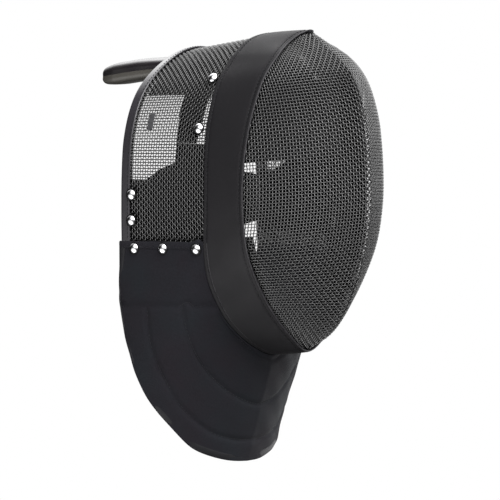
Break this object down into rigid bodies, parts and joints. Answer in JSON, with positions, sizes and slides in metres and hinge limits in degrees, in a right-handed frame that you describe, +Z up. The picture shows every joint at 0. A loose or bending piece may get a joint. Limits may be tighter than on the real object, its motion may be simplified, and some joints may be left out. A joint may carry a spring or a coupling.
{
  "type": "fencing mask",
  "caption": "Domed woven-wire fencing mask with a padded cloth lining, a quilted throat bib and a sprung tongue behind the head.",
  "frame": {"origin": "the point under the crown pad that rests on top of the wearer's head, on the centre plane", "axes": "+Z up, -Y out of the face, +X to the wearer's left"},
  "size_m": [0.2168, 0.3207, 0.4126],
  "materials": {
    "wire_mesh": "satin black coating on woven steel wire",
    "trim_cloth": "matt black coated cloth",
    "rim_vinyl": "satin dark grey coated binding",
    "bib_cloth": "matt black quilted cloth",
    "lining_cloth": "matt black padded cloth",
    "tag_cloth": "plain grey woven tape",
    "chrome": "polished chromed steel"
  },
  "bodies": {
    "root": {"face_mesh": "wire_mesh", "side_mesh": "wire_mesh", "trim_band": "trim_cloth", "rim_binding": "rim_vinyl", "spring_tongue": "trim_cloth", "bib": "bib_cloth", "crown_pad": "lining_cloth", "forehead_pad": "lining_cloth", "temple_pad_right": "lining_cloth", "temple_pad_left": "lining_cloth", "cheek_pad_right": "lining_cloth", "cheek_pad_left": "lining_cloth", "chin_pad": "lining_cloth", "side_tag": "tag_cloth", "rivet_right_1": "chrome", "rivet_right_2": "chrome", "rivet_right_3": "chrome", "rivet_right_4": "chrome", "rivet_right_5": "chrome", "rivet_right_6": "chrome", "rivet_right_7": "chrome", "rivet_left_1": "chrome", "rivet_left_2": "chrome", "rivet_left_3": "chrome", "rivet_left_4": "chrome", "rivet_left_5": "chrome", "rivet_left_6": "chrome", "rivet_left_7": "chrome"}
  },
  "joints": []
}
